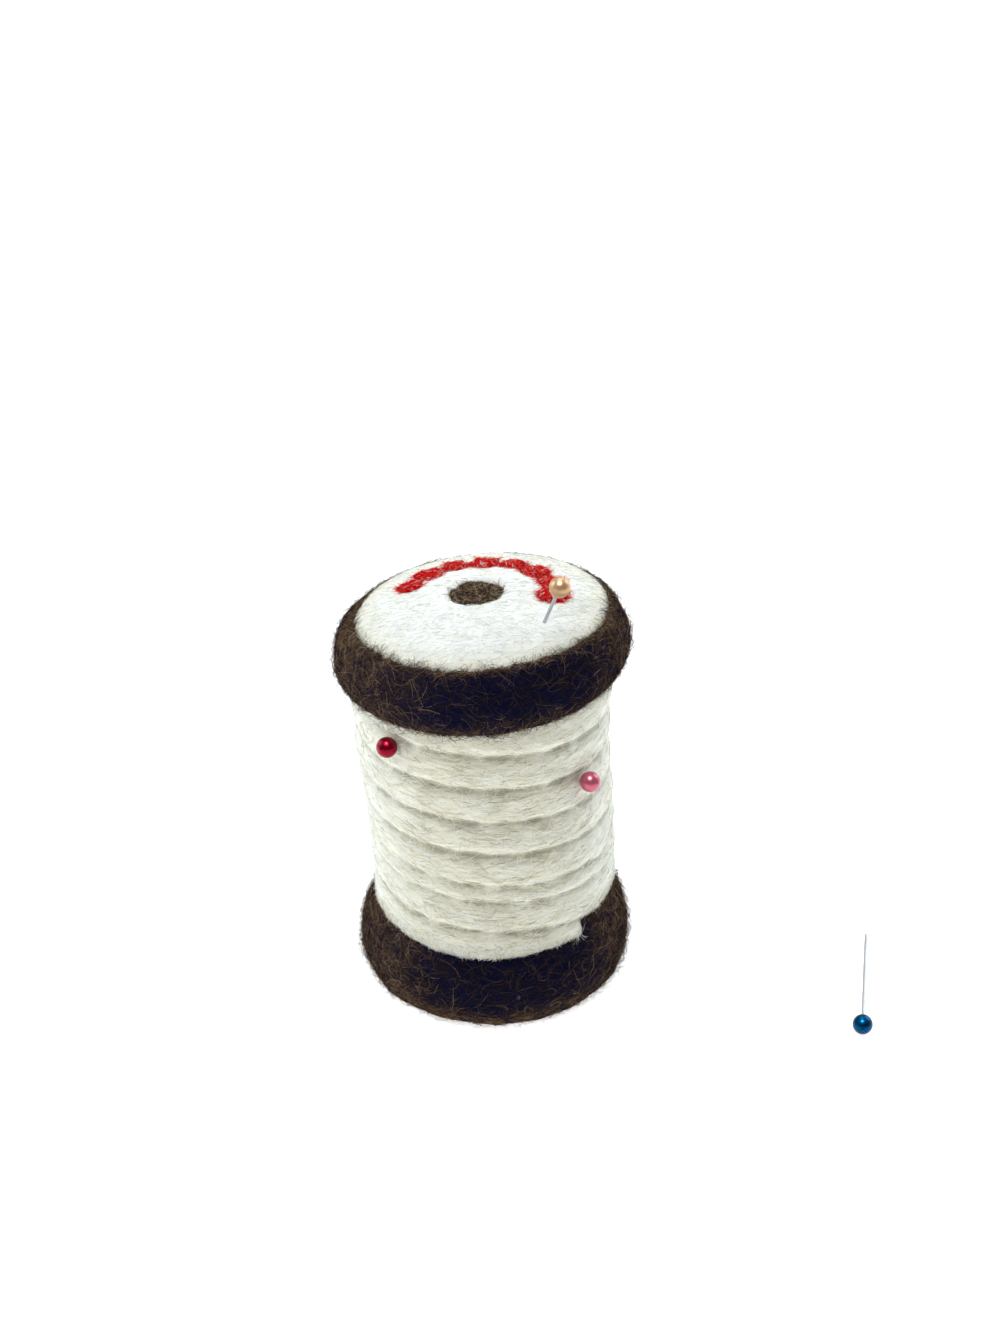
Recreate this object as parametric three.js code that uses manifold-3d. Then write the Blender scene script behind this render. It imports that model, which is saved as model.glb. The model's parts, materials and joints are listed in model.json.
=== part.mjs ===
// A needle-felted pincushion in the shape of a thread spool, with four pearl-headed pins.
// Millimetres, +Z up. The origin is the middle of the flat rest face, and the front faces -Y.
// Azimuths are counted from +X, anticlockwise seen from above.

import * as THREE from "three";
import { mergeVertices } from "three/addons/utils/BufferGeometryUtils.js";
import Module from "manifold-3d";

const { degToRad, smoothstep, euclideanModulo, lerp } = THREE.MathUtils;

// Clearances
const SEAT_GAP = 0.3; // between two wool pieces that lie on each other
const CHANNEL_GAP = 0.3; // round a pin's shaft in the wool
const SOCKET_GAP = 0.15; // round a pin's shaft in its head

// Bottom flange
const BASE_OVERHANG = 3; // how far it stands out past the winding's foot
const BASE_WIDEST = 6.8; // height of the widest ring
const BASE_FOOT_INSET = 2.2; // from the widest ring in to the edge of the flat rest face
const BASE_FLOOR = 5.5; // wool under the core
const BASE_HEIGHT = 12.9; // top of the flange under the roving's tail
const BASE_TUCK = 0.4; // how far its top edge is drawn in under the winding

// Winding of one roving, from its tail up
const WINDING_HEIGHT = 58.1; // from the tail's lower edge to the top of the last turn
const BODY_RADIUS_LOW = 24; // outside of the winding at its foot
const BODY_RADIUS_HIGH = 25; // outside of the winding at its top
const TURN_DEPTH = 4; // thickness of the roving
const TURN_RISE = 7.4; // rise of one turn
const TURN_GAP = 0.6; // between one turn and the next
const TURN_FACE = 0.46; // share of a turn's height that is flat outside
const TURN_BACK = 0.64; // share of a turn's height that is flat on the core
const GROOVE_DEPTH = 1.2; // how far the edges of a turn fall back
const THIN_TURN_START = 2.125; // the roving runs thin for one turn from here, in turns from the tail
const THIN_TURN_RISE = 3.5; // rise of that turn
const ROVING_END_HEIGHT = 1.2; // what the last turn thins out to
const TAIL_AZIMUTH = -45; // degrees
const TAIL_SAG = 1.5; // how far the roving drops where it passes the tail's end
const SAG_BEGINS = 0.6; // in turns from the tail, as the next two are
const SAG_DEEPEST = 0.95;
const SAG_ENDS = 1.1;
const TAIL_LIFT = 2.4; // how far the tail's end is drawn up
const LIFT_ENDS = 0.16; // in turns from the tail

// Top flange
const TOP_OVERHANG = 3; // how far it stands out past the winding's top
const TOP_SKIRT = 2.3; // laps down over the last turn
const TOP_WIDEST = 3.1; // height of the widest ring above the skirt's edge
const TOP_WEB = 3; // wool between the last turn and the cushion
const TOP_LIP = 1; // width of the skirt's flat edge
const TOP_BORDER = 4; // from the widest ring in to the cushion

// How full the shoulders of both flanges are: 1 is a straight slope
const SHOULDER_POWER = 1.9;

// Crowned cushion in the top
const CUSHION_EDGE = 4.8; // height of its side
const CUSHION_SWELL = 2.9; // height of the side's fullest ring
const CUSHION_CROWN = 3;
const CUSHION_PULL = 1.2; // how far the side draws in at its foot

// Patch that stands for the spool's hole
const PATCH_RADIUS = 5;
const PATCH_THICKNESS = 1.8;
const PATCH_SUNK = 0.4; // its edge below the crown
const PATCH_DISH = 0.3; // its middle below its edge
const PATCH_OFFSET_X = -0.9;
const PATCH_OFFSET_Y = 1.8;

// Red dabs on an arc round the patch, large and small by turns
const DAB_COUNT = 8;
const DAB_INSET = 9.4; // from the cushion's edge in to the arc
const DAB_FIRST_AZIMUTH = -8; // degrees
const DAB_SPACING = 0.85; // between one dab and the next
const DAB_RADIUS_LARGE = 2.8;
const DAB_RADIUS_SMALL = 2.2;
const DAB_SUNK = 1; // in the cushion
const DAB_PROUD = 0.6; // above it

// The handmade lean: the upper half sits to the left, and the top is tipped to the left
const LEAN_SHIFT = -2.3; // in x
const LEAN_START = 9.8; // above the winding's foot
const LEAN_END = 14.3; // below the winding's top
const TOP_TILT = 4.6; // degrees
const TILT_RUN = 9; // height below the winding's top over which it tips

// Pins
const PIN_LENGTH = 35; // over all
const PIN_HEAD_RADIUS = 2;
const PIN_SHAFT_RADIUS = 0.3;
const PIN_TAPER = 2.5; // length of the point
const PIN_SOCKET_DEPTH = 2.2; // how far the shaft goes into the head
const CHANNEL_SPARE = 0.6; // channel past the point of a pin pushed home

// Places of the pins: angles in degrees, and millimetres in from the cushion's edge, out of the crown
// to the head's middle, and down from the winding's top
const PEACH_PIN = { azimuth: -42, inset: 8.4, slant: 21, stands: 8.1 };
const RED_PIN = { azimuth: -130.3, drop: 9.5, dip: 12 };
const PINK_PIN = { azimuth: -40.6, drop: 19.1, dip: 12 };
const BLUE_PIN = { head: [72.8, -27.8], azimuth: 79.5 }; // loose on the table

// Finishes
const BROWN_WOOL = { color: 0x3a2a20, roughness: 0.95, metalness: 0 };
const CREAM_WOOL = { color: 0xdeded0, roughness: 0.95, metalness: 0 };
const WHITE_WOOL = { color: 0xf0f2ec, roughness: 0.95, metalness: 0 };
const PATCH_WOOL = { color: 0x5a4b32, roughness: 0.95, metalness: 0 };
const RED_WOOL = { color: 0xc8191e, roughness: 0.95, metalness: 0 };
const PIN_STEEL = { color: 0xb8bcc0, roughness: 0.3, metalness: 1 };
const PEACH_PEARL = { color: 0xdcaa73, roughness: 0.25, metalness: 0 };
const RED_PEARL = { color: 0x8c0a1e, roughness: 0.25, metalness: 0 };
const PINK_PEARL = { color: 0xc85a7d, roughness: 0.25, metalness: 0 };
const BLUE_PEARL = { color: 0x00468c, roughness: 0.25, metalness: 0 };

// Facets
const ROUND_STEPS = 48; // round the flanges and the cushion
const TURN_STEPS = 24; // for each turn of the roving
const CORE_ROWS = 14;
const ARC_STEPS = 5; // in a rounded edge
const CROWN_STEPS = 8;
const DOME_STEPS = 3; // in the top of a dab
const HEAD_ROWS = 12; // down a pin's head
const SMALL_ROUND_STEPS = 16; // round a dab or a pin's head
const SHAFT_STEPS = 10;
const WELD = 1e-4; // vertices closer than this are one
const ROUNDING = 1e-6; // in an angle that falls just on the tail

// What follows from the sizes above
const baseRadius = BODY_RADIUS_LOW + BASE_OVERHANG;
const topRadius = BODY_RADIUS_HIGH + TOP_OVERHANG;
const cushionRadius = topRadius - TOP_BORDER;
const windingFloor = BASE_HEIGHT + SEAT_GAP;
const windingTop = windingFloor + WINDING_HEIGHT;
const thinTurnLoss = TURN_RISE - THIN_TURN_RISE;
const skirtEdge = windingTop - TOP_SKIRT;
const webBottom = windingTop + SEAT_GAP;
const cushionSeat = webBottom + TOP_WEB;
const cushionBottom = cushionSeat + SEAT_GAP;
const rim = cushionBottom + CUSHION_EDGE;
const headToTip = PIN_LENGTH - PIN_HEAD_RADIUS;
const tiltSlope = Math.tan(degToRad(TOP_TILT));
const tailAngle = degToRad(TAIL_AZIMUTH);

const wasm = await Module();
wasm.setup();

// Radius of the outside of the winding at a height.
function bodyRadius(z) {
  return lerp(BODY_RADIUS_LOW, BODY_RADIUS_HIGH, (z - windingFloor) / WINDING_HEIGHT);
}

// Radius of the core at a height.
function coreRadius(z) {
  return bodyRadius(z) - TURN_DEPTH - SEAT_GAP;
}

// Height of the cushion's crown at a distance from its middle.
function crownHeight(r) {
  return rim + CUSHION_CROWN * (1 - (r / cushionRadius) ** 2);
}

// How far the roving has risen after some turns from its tail.
function rise(turns) {
  const thin = smoothstep(turns, THIN_TURN_START, THIN_TURN_START + 1);
  const sag = smoothstep(turns, SAG_BEGINS, SAG_DEEPEST) - smoothstep(turns, SAG_DEEPEST, SAG_ENDS);
  const lift = 1 - smoothstep(turns, 0, LIFT_ENDS);
  return TURN_RISE * turns - thinTurnLoss * thin - TAIL_SAG * sag + TAIL_LIFT * lift;
}

// Moves a point of the straight spool to where the handmade lean puts it.
function lean(point) {
  const tipped = smoothstep(point.z, windingTop - TILT_RUN, windingTop);
  const shifted = smoothstep(point.z, windingFloor + LEAN_START, windingTop - LEAN_END);
  point.z += tiltSlope * tipped * point.x;
  point.x += LEAN_SHIFT * shifted;
  return point;
}

// Moves every vertex of a geometry by a rule.
function deform(geometry, rule) {
  const position = geometry.getAttribute("position");
  const point = new THREE.Vector3();
  for (let i = 0; i < position.count; i++) {
    rule(point.fromBufferAttribute(position, i));
    position.setXYZ(i, point.x, point.y, point.z);
  }
  return geometry;
}

// A closed surface with shared vertices and positions alone.
function welded(geometry) {
  const bare = geometry.clone();
  bare.deleteAttribute("normal");
  bare.deleteAttribute("uv");
  return mergeVertices(bare, WELD);
}

function solidOf(geometry) {
  const closed = welded(geometry);
  const vertProperties = new Float32Array(closed.getAttribute("position").array);
  const triVerts = new Uint32Array(closed.index.array);
  return new wasm.Manifold(new wasm.Mesh({ numProp: 3, vertProperties, triVerts }));
}

function geometryOf(solid) {
  const mesh = solid.getMesh();
  const geometry = new THREE.BufferGeometry();
  geometry.setAttribute("position", new THREE.BufferAttribute(mesh.vertProperties, 3));
  geometry.setIndex(new THREE.BufferAttribute(mesh.triVerts, 1));
  return geometry;
}

// A geometry with others cut out of it.
function cut(geometry, tools) {
  let solid = solidOf(geometry);
  for (const tool of tools) solid = solid.subtract(solidOf(tool));
  return geometryOf(solid);
}

// A profile of [radius, height] points turned about +Z, with its first column at the front.
function turned(profile, steps) {
  const points = profile.map(([r, z]) => new THREE.Vector2(r, z));
  return new THREE.LatheGeometry(points, steps).rotateX(Math.PI / 2);
}

// A quarter of an ellipse from a flat edge up to the widest ring.
function roundedEdge([r0, z0], [r1, z1]) {
  const points = [];
  for (let i = 0; i <= ARC_STEPS; i++) {
    const angle = (i / ARC_STEPS) * (Math.PI / 2);
    points.push([lerp(r0, r1, Math.sin(angle)), lerp(z0, z1, 1 - Math.cos(angle))]);
  }
  return points;
}

// A shoulder that leaves the widest ring upright and slopes in more and more, without that ring itself.
function shoulder([r0, z0], [r1, z1]) {
  const points = [];
  for (let i = 1; i <= ARC_STEPS; i++) {
    const share = i / ARC_STEPS;
    points.push([lerp(r0, r1, share ** SHOULDER_POWER), lerp(z0, z1, share)]);
  }
  return points;
}

// The brown foot. Its top climbs as the first turn of the roving does, with a step at the tail.
function bottomFlange() {
  const pocket = coreRadius(BASE_FLOOR) + SEAT_GAP;
  const pocketTop = coreRadius(BASE_HEIGHT + TURN_RISE) + SEAT_GAP;
  const topEdge = bodyRadius(windingFloor) - BASE_TUCK;
  const profile = [
    [0, 0],
    ...roundedEdge([baseRadius - BASE_FOOT_INSET, 0], [baseRadius, BASE_WIDEST]),
    ...shoulder([baseRadius, BASE_WIDEST], [topEdge, BASE_HEIGHT]),
    [pocketTop, BASE_HEIGHT],
    [pocket, BASE_FLOOR],
    [0, BASE_FLOOR],
  ];
  const rampStart = Math.max(BASE_FLOOR, BASE_WIDEST);
  return deform(turned(profile, ROUND_STEPS), (point) => {
    const azimuth = Math.atan2(point.y, point.x);
    const turns = euclideanModulo(tailAngle - azimuth + ROUNDING, 2 * Math.PI) / (2 * Math.PI);
    const share = Math.max(0, (point.z - rampStart) / (BASE_HEIGHT - rampStart));
    point.z += share * rise(turns);
  });
}

// The rolled barrel inside, in rows that follow the lean.
function woolCore() {
  const low = BASE_FLOOR + SEAT_GAP;
  const profile = [[0, low]];
  for (let i = 0; i <= CORE_ROWS; i++) {
    const z = lerp(low, cushionSeat, i / CORE_ROWS);
    profile.push([coreRadius(z), z]);
  }
  profile.push([0, cushionSeat]);
  return turned(profile, TURN_STEPS);
}

// The roving: one unbroken tube of six-sided section, with the corners of its rings listed from the tail.
function rovingRings() {
  const lastFloor = WINDING_HEIGHT - ROVING_END_HEIGHT;
  const steps = Math.round(((lastFloor + thinTurnLoss) / TURN_RISE) * TURN_STEPS);
  const face = (1 - TURN_FACE) / 2;
  const back = (1 - TURN_BACK) / 2;
  const section = [
    [0, face],
    [0, 1 - face],
    [GROOVE_DEPTH, 1],
    [TURN_DEPTH, 1 - back],
    [TURN_DEPTH, back],
    [GROOVE_DEPTH, 0],
  ];
  const rings = [];
  for (let i = 0; i <= steps; i++) {
    const turns = i / TURN_STEPS;
    const floor = windingFloor + rise(turns);
    const roof = Math.min(windingFloor + rise(turns + 1) - TURN_GAP, windingTop);
    const angle = tailAngle - 2 * Math.PI * turns;
    const ring = section.map(([inward, share]) => {
      const z = lerp(floor, roof, share);
      const r = bodyRadius(z) - inward;
      return new THREE.Vector3(r * Math.cos(angle), r * Math.sin(angle), z);
    });
    rings.push(ring);
  }
  return rings;
}

function woundRoving() {
  const rings = rovingRings();
  const sides = rings[0].length;
  const positions = rings.flat().flatMap((p) => p.toArray());
  const index = [];
  for (let i = 0; i + 1 < rings.length; i++) {
    for (let j = 0; j < sides; j++) {
      const a = i * sides + j;
      const b = i * sides + ((j + 1) % sides);
      index.push(a, b, b + sides, a, b + sides, a + sides);
    }
  }
  const last = (rings.length - 1) * sides;
  for (let j = 1; j + 1 < sides; j++) {
    index.push(0, j + 1, j, last, last + j, last + j + 1);
  }
  const geometry = new THREE.BufferGeometry();
  geometry.setAttribute("position", new THREE.Float32BufferAttribute(positions, 3));
  geometry.setIndex(index);
  const leaned = rings.map((ring) => ring.map((point) => lean(point.clone())));
  console.log("winding: least gap to itself " + leastGap(leaned).toFixed(2) + " mm");
  return geometry;
}

// Least distance between corners of the roving that are over half a turn apart.
function leastGap(rings) {
  let least = Infinity;
  for (let i = 0; i < rings.length; i++) {
    for (let j = i + TURN_STEPS / 2; j < rings.length; j++) {
      for (const a of rings[i]) {
        for (const b of rings[j]) least = Math.min(least, a.distanceTo(b));
      }
    }
  }
  return least;
}

// The brown ring: a skirt over the last turn, a web on the core and a seat for the cushion.
function topFlange() {
  const skirtRadius = Math.max(bodyRadius(skirtEdge), bodyRadius(windingTop)) + SEAT_GAP;
  const boreRadius = coreRadius(cushionSeat) + SEAT_GAP;
  const seatRadius = cushionRadius + SEAT_GAP;
  const widest = [topRadius, skirtEdge + TOP_WIDEST];
  const profile = [
    [skirtRadius, skirtEdge],
    ...roundedEdge([skirtRadius + TOP_LIP, skirtEdge], widest),
    ...shoulder(widest, [seatRadius, rim]),
    [seatRadius, cushionSeat],
    [boreRadius, cushionSeat],
    [boreRadius, webBottom],
    [skirtRadius, webBottom],
    [skirtRadius, skirtEdge],
  ];
  return turned(profile, ROUND_STEPS);
}

// Where something sits on the crown: a frame on its surface, with Z square to it.
function onCrown(x, y) {
  const normal = new THREE.Vector3(x, y, cushionRadius ** 2 / (2 * CUSHION_CROWN)).normalize();
  const turn = new THREE.Quaternion().setFromUnitVectors(new THREE.Vector3(0, 0, 1), normal);
  const place = new THREE.Vector3(x, y, crownHeight(Math.hypot(x, y)));
  return new THREE.Matrix4().compose(place, turn, new THREE.Vector3(1, 1, 1));
}

// A straight-sided hollow in the crown for a piece of this radius and depth, open above.
function pocket(radius, depth, place) {
  const r = radius + SEAT_GAP;
  const low = -depth - SEAT_GAP;
  const profile = [[0, low], [r, low], [r, CUSHION_CROWN], [0, CUSHION_CROWN]];
  return turned(profile, SMALL_ROUND_STEPS).applyMatrix4(place);
}

// A flat-bottomed dab of felt with a domed top.
function dab(radius, place) {
  const profile = [[0, -DAB_SUNK], [radius, -DAB_SUNK]];
  for (let i = 0; i <= DOME_STEPS; i++) {
    const angle = (i / DOME_STEPS) * (Math.PI / 2);
    const r = i === DOME_STEPS ? 0 : radius * Math.cos(angle);
    profile.push([r, DAB_PROUD * Math.sin(angle)]);
  }
  return turned(profile, SMALL_ROUND_STEPS).applyMatrix4(place);
}

const patchPlace = onCrown(PATCH_OFFSET_X, PATCH_OFFSET_Y);
const patchDepth = PATCH_SUNK + PATCH_THICKNESS;

// A disc of felt with a dished top.
function holePatch() {
  const profile = [
    [0, -patchDepth],
    [PATCH_RADIUS, -patchDepth],
    [PATCH_RADIUS, -PATCH_SUNK],
    [0, -PATCH_SUNK - PATCH_DISH],
  ];
  return turned(profile, SMALL_ROUND_STEPS).applyMatrix4(patchPlace);
}

const dabArcRadius = cushionRadius - DAB_INSET;
const dabChord = DAB_RADIUS_LARGE + DAB_RADIUS_SMALL + DAB_SPACING;
const dabStep = 2 * Math.asin(dabChord / (2 * dabArcRadius));

const dabs = Array.from({ length: DAB_COUNT }, (unused, i) => {
  const angle = degToRad(DAB_FIRST_AZIMUTH) + i * dabStep;
  const x = PATCH_OFFSET_X + dabArcRadius * Math.cos(angle);
  const y = PATCH_OFFSET_Y + dabArcRadius * Math.sin(angle);
  const radius = i % 2 ? DAB_RADIUS_SMALL : DAB_RADIUS_LARGE;
  return { name: "red_dab_" + (i + 1), radius, place: onCrown(x, y) };
});

// The white disc with its crown, its drawn-in side, and pockets for the patch and the dabs.
function topCushion() {
  const foot = [cushionRadius - CUSHION_PULL, cushionBottom];
  const swell = [cushionRadius, cushionBottom + CUSHION_SWELL];
  const profile = [[0, cushionBottom], ...roundedEdge(foot, swell)];
  for (let i = 0; i <= CROWN_STEPS; i++) {
    const r = cushionRadius * Math.cos((i / CROWN_STEPS) * (Math.PI / 2));
    profile.push([i === CROWN_STEPS ? 0 : r, crownHeight(r)]);
  }
  const pockets = dabs.map(({ radius, place }) => pocket(radius, DAB_SUNK, place));
  pockets.push(pocket(PATCH_RADIUS, patchDepth, patchPlace));
  return cut(turned(profile, ROUND_STEPS), pockets);
}

// Pin parts lie along local Z, with the head's middle at the origin and the point downwards.
function pinHead() {
  const socket = PIN_SHAFT_RADIUS + SOCKET_GAP;
  const mouth = Math.asin(socket / PIN_HEAD_RADIUS);
  const socketTop = PIN_SOCKET_DEPTH - PIN_HEAD_RADIUS;
  const profile = [[0, socketTop], [socket, socketTop]];
  for (let i = 0; i <= HEAD_ROWS; i++) {
    const angle = lerp(mouth, Math.PI, i / HEAD_ROWS);
    const r = i === HEAD_ROWS ? 0 : PIN_HEAD_RADIUS * Math.sin(angle);
    profile.push([r, -PIN_HEAD_RADIUS * Math.cos(angle)]);
  }
  return turned(profile, SMALL_ROUND_STEPS);
}

function pinShaft() {
  const top = PIN_SOCKET_DEPTH - PIN_HEAD_RADIUS - SOCKET_GAP;
  const neck = PIN_TAPER - headToTip;
  const profile = [[0, -headToTip], [PIN_SHAFT_RADIUS, neck], [PIN_SHAFT_RADIUS, top], [0, top]];
  return turned(profile, SHAFT_STEPS);
}

// The round hole that a pin makes in the wool, with room for being pushed further in.
function pinChannel(place, pushIn) {
  const radius = PIN_SHAFT_RADIUS + CHANNEL_GAP;
  const low = -headToTip - pushIn - CHANNEL_SPARE;
  const profile = [[0, low], [radius, low], [radius, PIN_HEAD_RADIUS], [0, PIN_HEAD_RADIUS]];
  return turned(profile, SHAFT_STEPS).applyMatrix4(place);
}

// A frame at a pin's head whose Z points from the pin's point to its head.
function pinPlace(head, outward) {
  const turn = new THREE.Quaternion().setFromUnitVectors(new THREE.Vector3(0, 0, 1), outward.normalize());
  return new THREE.Matrix4().compose(head, turn, new THREE.Vector3(1, 1, 1));
}

// A pin pushed home in the winding, with its head against the roving.
function sidePin({ azimuth, drop, dip }) {
  const angle = degToRad(azimuth);
  const height = windingTop - drop;
  const reach = bodyRadius(height) + SEAT_GAP + PIN_HEAD_RADIUS;
  const head = lean(new THREE.Vector3(reach * Math.cos(angle), reach * Math.sin(angle), height));
  const outward = new THREE.Vector3(Math.cos(angle), Math.sin(angle), Math.tan(degToRad(dip)));
  return pinPlace(head, outward);
}

// A pin that stands in the crown and leans to the right.
function topPin({ azimuth, inset, slant, stands }) {
  const radius = cushionRadius - inset;
  const x = radius * Math.cos(degToRad(azimuth));
  const y = radius * Math.sin(degToRad(azimuth));
  const entry = lean(new THREE.Vector3(x, y, crownHeight(radius)));
  const outward = new THREE.Vector3(Math.sin(degToRad(slant)), 0, Math.cos(degToRad(slant)));
  return pinPlace(entry.addScaledVector(outward, stands), outward);
}

// A pin that lies on the table, on its head and on the shoulder of its point.
function loosePin({ head, azimuth }) {
  const drop = (PIN_HEAD_RADIUS - PIN_SHAFT_RADIUS) / (headToTip - PIN_TAPER);
  const angle = degToRad(azimuth);
  const outward = new THREE.Vector3(-Math.cos(angle), -Math.sin(angle), drop / Math.sqrt(1 - drop * drop));
  return pinPlace(new THREE.Vector3(...head, PIN_HEAD_RADIUS), outward);
}

const peachPushIn = PEACH_PIN.stands - PIN_HEAD_RADIUS - SEAT_GAP;
const pins = {
  peach_pin: { place: topPin(PEACH_PIN), pearl: PEACH_PEARL },
  red_pin: { place: sidePin(RED_PIN), pearl: RED_PEARL },
  pink_pin: { place: sidePin(PINK_PIN), pearl: PINK_PEARL },
  blue_pin: { place: loosePin(BLUE_PIN), pearl: BLUE_PEARL },
};
const channels = [
  pinChannel(pins.peach_pin.place, peachPushIn),
  pinChannel(pins.red_pin.place, 0),
  pinChannel(pins.pink_pin.place, 0),
];

const spool = new THREE.Group();

// Adds a named mesh with a material of its own.
function add(parent, name, geometry, finish) {
  const mesh = new THREE.Mesh(geometry, new THREE.MeshStandardMaterial(finish));
  mesh.name = name;
  parent.add(mesh);
}

// Adds a piece of wool: it leans as the spool does, and the pins' channels pass through it.
function addWool(name, geometry, finish) {
  add(spool, name, cut(deform(geometry, lean), channels), finish);
}

addWool("bottom_flange", bottomFlange(), BROWN_WOOL);
addWool("wool_core", woolCore(), CREAM_WOOL);
addWool("wound_roving", woundRoving(), CREAM_WOOL);
addWool("top_flange", topFlange(), BROWN_WOOL);
addWool("top_cushion", topCushion(), WHITE_WOOL);
addWool("spool_hole_patch", holePatch(), PATCH_WOOL);
for (const { name, radius, place } of dabs) {
  addWool(name, dab(radius, place), RED_WOOL);
}

for (const [name, { place, pearl }] of Object.entries(pins)) {
  const pin = new THREE.Group();
  pin.applyMatrix4(place);
  add(pin, name + "_head", pinHead(), pearl);
  add(pin, name + "_shaft", pinShaft(), PIN_STEEL);
  spool.add(pin);
}

export default spool;
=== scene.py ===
"""Dresses a needle-felted spool pincushion and its pearl-headed pins, around their solids.

Every wool piece is felted from its solid: fused, swollen, softened and needled, with loose fibres over it.
Metres, +Z up. The front faces -Y.
"""

import json
import math

import bmesh
import bpy
import numpy as np
from bpy.props import FloatProperty, FloatVectorProperty, IntProperty, PointerProperty
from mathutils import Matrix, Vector, noise
from mathutils.bvhtree import BVHTree

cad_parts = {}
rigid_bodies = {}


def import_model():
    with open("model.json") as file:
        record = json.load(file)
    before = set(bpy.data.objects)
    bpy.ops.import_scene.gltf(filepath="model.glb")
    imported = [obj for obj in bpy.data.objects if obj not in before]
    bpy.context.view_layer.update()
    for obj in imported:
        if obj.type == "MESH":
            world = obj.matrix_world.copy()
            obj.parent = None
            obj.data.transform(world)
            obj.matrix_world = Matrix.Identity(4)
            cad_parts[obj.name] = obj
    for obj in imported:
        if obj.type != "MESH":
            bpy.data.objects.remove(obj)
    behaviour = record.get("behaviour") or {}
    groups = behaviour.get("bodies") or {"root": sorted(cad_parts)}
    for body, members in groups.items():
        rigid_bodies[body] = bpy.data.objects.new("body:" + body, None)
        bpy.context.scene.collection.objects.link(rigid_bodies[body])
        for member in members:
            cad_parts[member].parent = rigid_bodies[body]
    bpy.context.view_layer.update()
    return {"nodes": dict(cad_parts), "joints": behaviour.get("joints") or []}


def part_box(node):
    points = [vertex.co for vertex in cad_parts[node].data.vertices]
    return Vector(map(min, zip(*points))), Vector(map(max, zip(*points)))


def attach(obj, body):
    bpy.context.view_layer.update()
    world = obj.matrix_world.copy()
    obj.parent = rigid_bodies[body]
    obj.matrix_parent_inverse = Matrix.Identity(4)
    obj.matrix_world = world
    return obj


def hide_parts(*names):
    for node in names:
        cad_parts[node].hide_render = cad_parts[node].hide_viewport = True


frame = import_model()

bl_info = {
    "name": "Felted spool pincushion",
    "version": (1, 0, 0),
    "blender": (4, 5, 0),
    "location": "View3D > Sidebar > Pincushion",
    "description": "Dresses a felted spool pincushion and its pins in wool, pearl and steel",
    "category": "Add Mesh",
}


def middle(node):
    """Middle of a node's box."""
    low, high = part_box(node)
    return (low + high) / 2


MM = 0.001
DABS = sorted(name for name in frame["nodes"] if name.startswith("red_dab_"))
TOP_AXIS_X = middle("top_flange").x
BASE_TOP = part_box("wound_roving")[0].z

# The winding: its radius at the foot, how many times its widening it rises, where its lean begins and ends
BODY_RADIUS = 24.0 * MM
BODY_FLARE = 58.1
LEAN = 23 * MM, 57 * MM
# The depth below which its grooves are filled no more, and how far outside its face the filling begins
DEEPEST_GROOVE = 1.5 * MM
GROOVE_FILL = 0.37 * MM
# The end of its tail: the azimuth in degrees, and the height over the foot
TAIL_AZIMUTH = -45
TAIL_HEIGHT = 5 * MM

# Where the light painted on the brown wool's edges begins and is brightest: heights, and a reach from the
# axis
FOOT_EDGE = 5.5 * MM, 1.5 * MM
RING_SKIRT = 70.5 * MM, 68.0 * MM
RING_MOUTH = 25.8 * MM, 24.4 * MM
# How far from the axis the outsides of the flanges begin, and where the white top's painted rim shade begins
# and is fullest
FOOT_OUTSIDE = 23.4 * MM
RING_OUTSIDE = 23.8 * MM
RIM_SHADE = 17.0 * MM, 24.2 * MM

# How metallic the lacquer of each pin's head is
PINS = {"peach_pin": 0.55, "red_pin": 0.85, "pink_pin": 0.55, "blue_pin": 1.0}
# The pin that stands proud of the top and can be pushed in
STANDING_PIN = "peach_pin"
# How far the glue collar of a head reaches below it, and the room that the felt leaves round a head
COLLAR_DROP = 0.25 * MM
HEAD_ROOM = 0.1 * MM
# How much fuller a wire is than its solid
WIRE_FULLNESS = 1.12
# Faces along and round the turned pieces
HEAD_ROWS = 28
HEAD_SIDES = 48
WIRE_SIDES = 24

COOL_LIGHT = (0.84, 0.95, 1.0)
FLOOR_HALF = 4.0
# The point that the lamps face
LAMP_TARGET = Vector((0.0, 0.0, 0.045))


# Settings that a user would change


def length(name, description, millimetres):
    return FloatProperty(name=name, description=description, default=millimetres * MM, unit="LENGTH")


def colour(name, description, value):
    return FloatVectorProperty(
        name=name, description=description, default=value, size=3, min=0, max=1, subtype="COLOR"
    )


def power(name, description, watts):
    return FloatProperty(name=name, description=description, default=watts, unit="POWER")


class FeltSettings(bpy.types.PropertyGroup):
    """How the wool is felted."""

    grain: length("Grain", "Size of the cells that the felt is fused from", 0.5)
    swell: length("Swell", "How far the felt swells past its solid", 0.32)
    softening: IntProperty(name="Softening", description="Rounds of smoothing", default=10, min=0)
    lump_size: length("Lump size", "Width of the soft lumps", 7)
    lump_depth: length("Lump depth", "Height of the soft lumps", 0.3)
    needle_size: length("Needling size", "Distance between needle marks", 1.4)
    needle_depth: length("Needling depth", "Depth of the needle marks", 0.13)
    fibre_radius: length("Fibre radius", "Radius of a loose lock of fibres", 0.04)


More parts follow.
